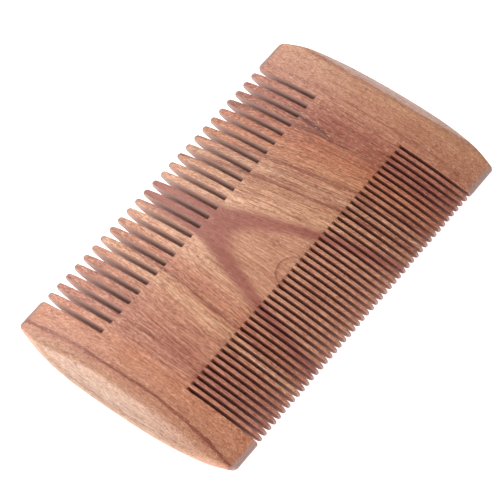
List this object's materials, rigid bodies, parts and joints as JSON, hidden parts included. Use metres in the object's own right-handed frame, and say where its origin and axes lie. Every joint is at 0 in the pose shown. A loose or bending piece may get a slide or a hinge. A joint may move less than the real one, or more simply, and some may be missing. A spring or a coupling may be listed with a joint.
{
  "type": "beard comb",
  "caption": "Flat double-sided wooden comb for beards, with coarse teeth on one long edge, fine teeth on the other and solid bevelled guards at its ends.",
  "frame": {"origin": "centre of the flat land on the lower face, midway between the ends of the comb and between the tips of its two rows of teeth", "axes": "+X along the spine towards the wider guard, +Y towards the coarse tips, +Z out of the upper face"},
  "size_m": [0.102, 0.06, 0.0082],
  "materials": {
    "spine_wood": "satin, fine straight grain",
    "guard_wood": "satin, fine straight grain",
    "coarse_tooth_wood": "satin, fine straight grain",
    "fine_tooth_wood": "satin, fine straight grain"
  },
  "bodies": {
    "root": {"spine": "spine_wood", "left_guard": "guard_wood", "right_guard": "guard_wood", "coarse_tooth_01": "coarse_tooth_wood", "coarse_tooth_02": "coarse_tooth_wood", "coarse_tooth_03": "coarse_tooth_wood", "coarse_tooth_04": "coarse_tooth_wood", "coarse_tooth_05": "coarse_tooth_wood", "coarse_tooth_06": "coarse_tooth_wood", "coarse_tooth_07": "coarse_tooth_wood", "coarse_tooth_08": "coarse_tooth_wood", "coarse_tooth_09": "coarse_tooth_wood", "coarse_tooth_10": "coarse_tooth_wood", "coarse_tooth_11": "coarse_tooth_wood", "coarse_tooth_12": "coarse_tooth_wood", "coarse_tooth_13": "coarse_tooth_wood", "coarse_tooth_14": "coarse_tooth_wood", "coarse_tooth_15": "coarse_tooth_wood", "coarse_tooth_16": "coarse_tooth_wood", "coarse_tooth_17": "coarse_tooth_wood", "coarse_tooth_18": "coarse_tooth_wood", "coarse_tooth_19": "coarse_tooth_wood", "coarse_tooth_20": "coarse_tooth_wood", "coarse_tooth_21": "coarse_tooth_wood", "coarse_tooth_22": "coarse_tooth_wood", "coarse_tooth_23": "coarse_tooth_wood", "coarse_tooth_24": "coarse_tooth_wood", "coarse_tooth_25": "coarse_tooth_wood", "fine_teeth_01": "fine_tooth_wood", "fine_teeth_02": "fine_tooth_wood", "fine_teeth_03": "fine_tooth_wood", "fine_teeth_04": "fine_tooth_wood", "fine_teeth_05": "fine_tooth_wood", "fine_teeth_06": "fine_tooth_wood", "fine_teeth_07": "fine_tooth_wood", "fine_teeth_08": "fine_tooth_wood", "fine_teeth_09": "fine_tooth_wood", "fine_teeth_10": "fine_tooth_wood", "fine_teeth_11": "fine_tooth_wood", "fine_teeth_12": "fine_tooth_wood", "fine_teeth_13": "fine_tooth_wood", "fine_teeth_14": "fine_tooth_wood", "fine_teeth_15": "fine_tooth_wood", "fine_teeth_16": "fine_tooth_wood", "fine_teeth_17": "fine_tooth_wood", "fine_teeth_18": "fine_tooth_wood", "fine_teeth_19": "fine_tooth_wood", "fine_teeth_20": "fine_tooth_wood", "fine_teeth_21": "fine_tooth_wood", "fine_teeth_22": "fine_tooth_wood", "fine_teeth_23": "fine_tooth_wood"}
  },
  "joints": []
}
